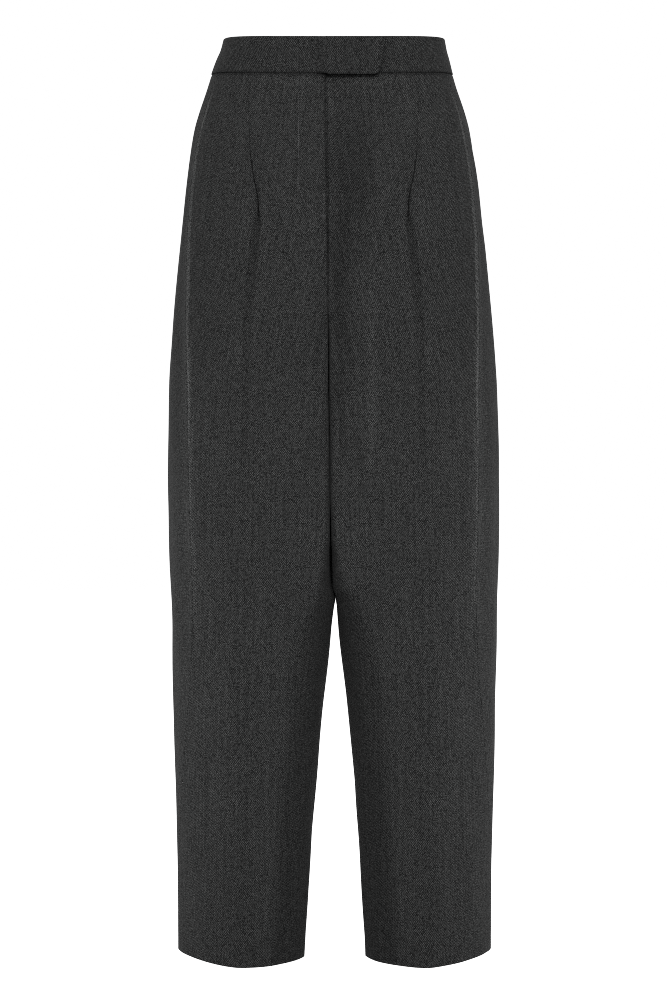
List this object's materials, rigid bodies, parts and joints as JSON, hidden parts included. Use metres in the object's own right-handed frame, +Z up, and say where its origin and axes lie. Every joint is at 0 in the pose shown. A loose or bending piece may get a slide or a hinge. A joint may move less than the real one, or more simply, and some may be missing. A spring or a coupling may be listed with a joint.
{
  "type": "pleated dress trousers",
  "caption": "High-waisted wool trousers with a sewn-down pleat in each front, a fly and a waistband tab, hollow and filled out as worn.",
  "frame": {"origin": "centre of the waist opening at the level of the waistband's top edge at the sides, where a wearer's waist holds the garment", "axes": "+Z up along the body, +X to the wearer's left, -Y is the front"},
  "size_m": [0.3777, 0.2587, 1.0514],
  "materials": {
    "wool": "charcoal wool twill with a fine pale melange fleck and a slight nap",
    "band_wool": "the same wool, two layers with interlining, pressed flat",
    "zip_tape": "woven polyester tape with a moulded chain",
    "steel": "nickel-plated, satin"
  },
  "bodies": {
    "root": {"front_right_upper": "wool", "front_right_middle": "wool", "front_right_lower": "wool", "front_left_upper": "wool", "front_left_middle": "wool", "front_left_lower": "wool", "back_right_upper": "wool", "back_right_middle": "wool", "back_right_lower": "wool", "back_left_upper": "wool", "back_left_middle": "wool", "back_left_lower": "wool", "waistband_right": "band_wool", "waistband_left": "band_wool", "zip_tape": "zip_tape", "zip_slider": "steel", "waist_hook": "steel", "waist_bar": "steel"}
  },
  "joints": []
}
